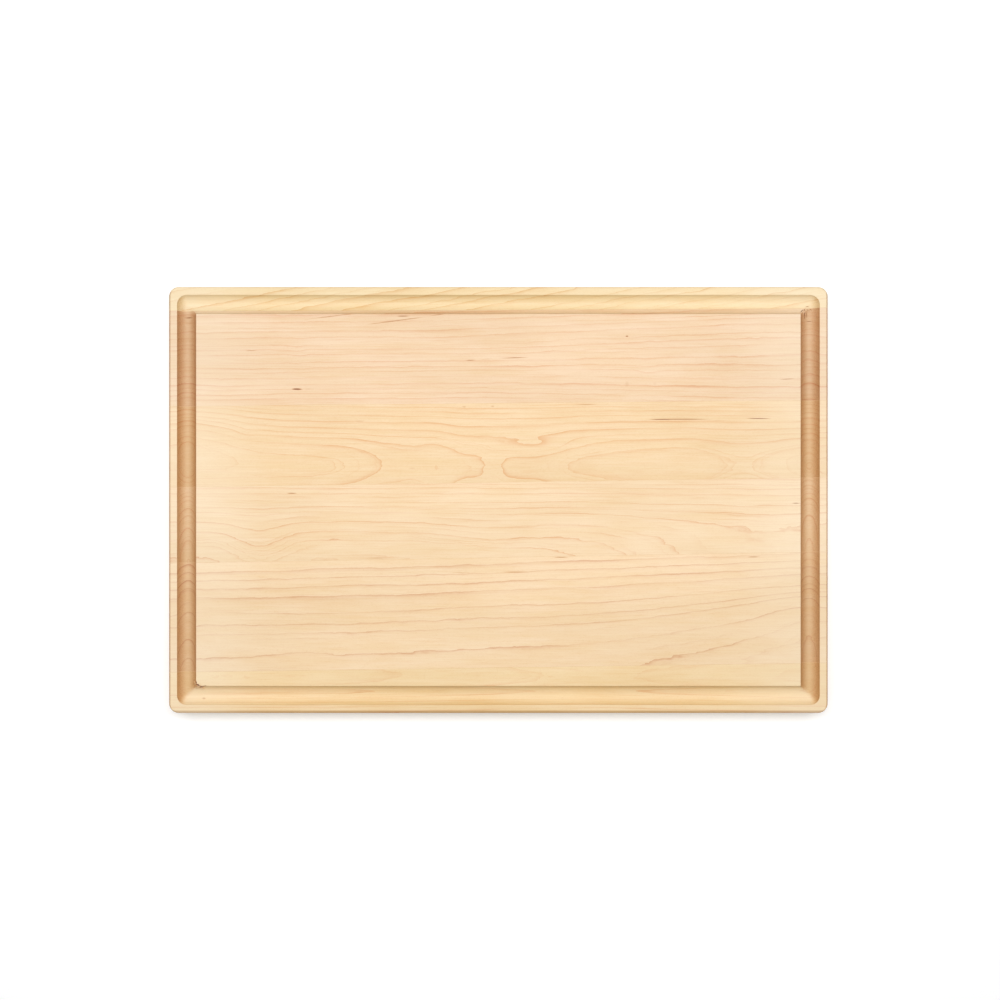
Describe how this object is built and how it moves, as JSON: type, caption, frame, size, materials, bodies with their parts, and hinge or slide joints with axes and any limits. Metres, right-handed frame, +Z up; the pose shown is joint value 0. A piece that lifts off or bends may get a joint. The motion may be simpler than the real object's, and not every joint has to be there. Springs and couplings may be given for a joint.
{
  "type": "cutting board",
  "caption": "Rectangular edge-glued maple cutting board, with a juice groove routed round its top face, eased edges and a flat underside.",
  "frame": {"origin": "centre of the underside, on the surface the board rests on", "axes": "+X along the grain and the board's length, +Y across the board towards its back edge, +Z up out of the cutting face"},
  "size_m": [0.4318, 0.2794, 0.0191],
  "materials": {
    "maple_stave_1": "hard maple, light yellow, sanded and oiled, satin",
    "maple_stave_2": "hard maple, pinkish and straight grained, sanded and oiled, satin",
    "maple_stave_3": "hard maple, yellowish, flat sawn with cathedral figure, sanded and oiled, satin",
    "maple_stave_4": "hard maple, cream, fine lines over wide wavy ones, sanded and oiled, satin",
    "maple_stave_5": "hard maple, pinkish cream with widely spaced grain, sanded and oiled, satin",
    "maple_stave_6": "hard maple, yellowish with short cathedral tips, sanded and oiled, satin",
    "wood_glue": "cured wood glue, sanded flush, translucent tan"
  },
  "bodies": {
    "root": {"maple_stave_1": "maple_stave_1", "maple_stave_2": "maple_stave_2", "maple_stave_3": "maple_stave_3", "maple_stave_4": "maple_stave_4", "maple_stave_5": "maple_stave_5", "maple_stave_6": "maple_stave_6", "glue_line_1": "wood_glue", "glue_line_2": "wood_glue", "glue_line_3": "wood_glue", "glue_line_4": "wood_glue", "glue_line_5": "wood_glue"}
  },
  "joints": []
}
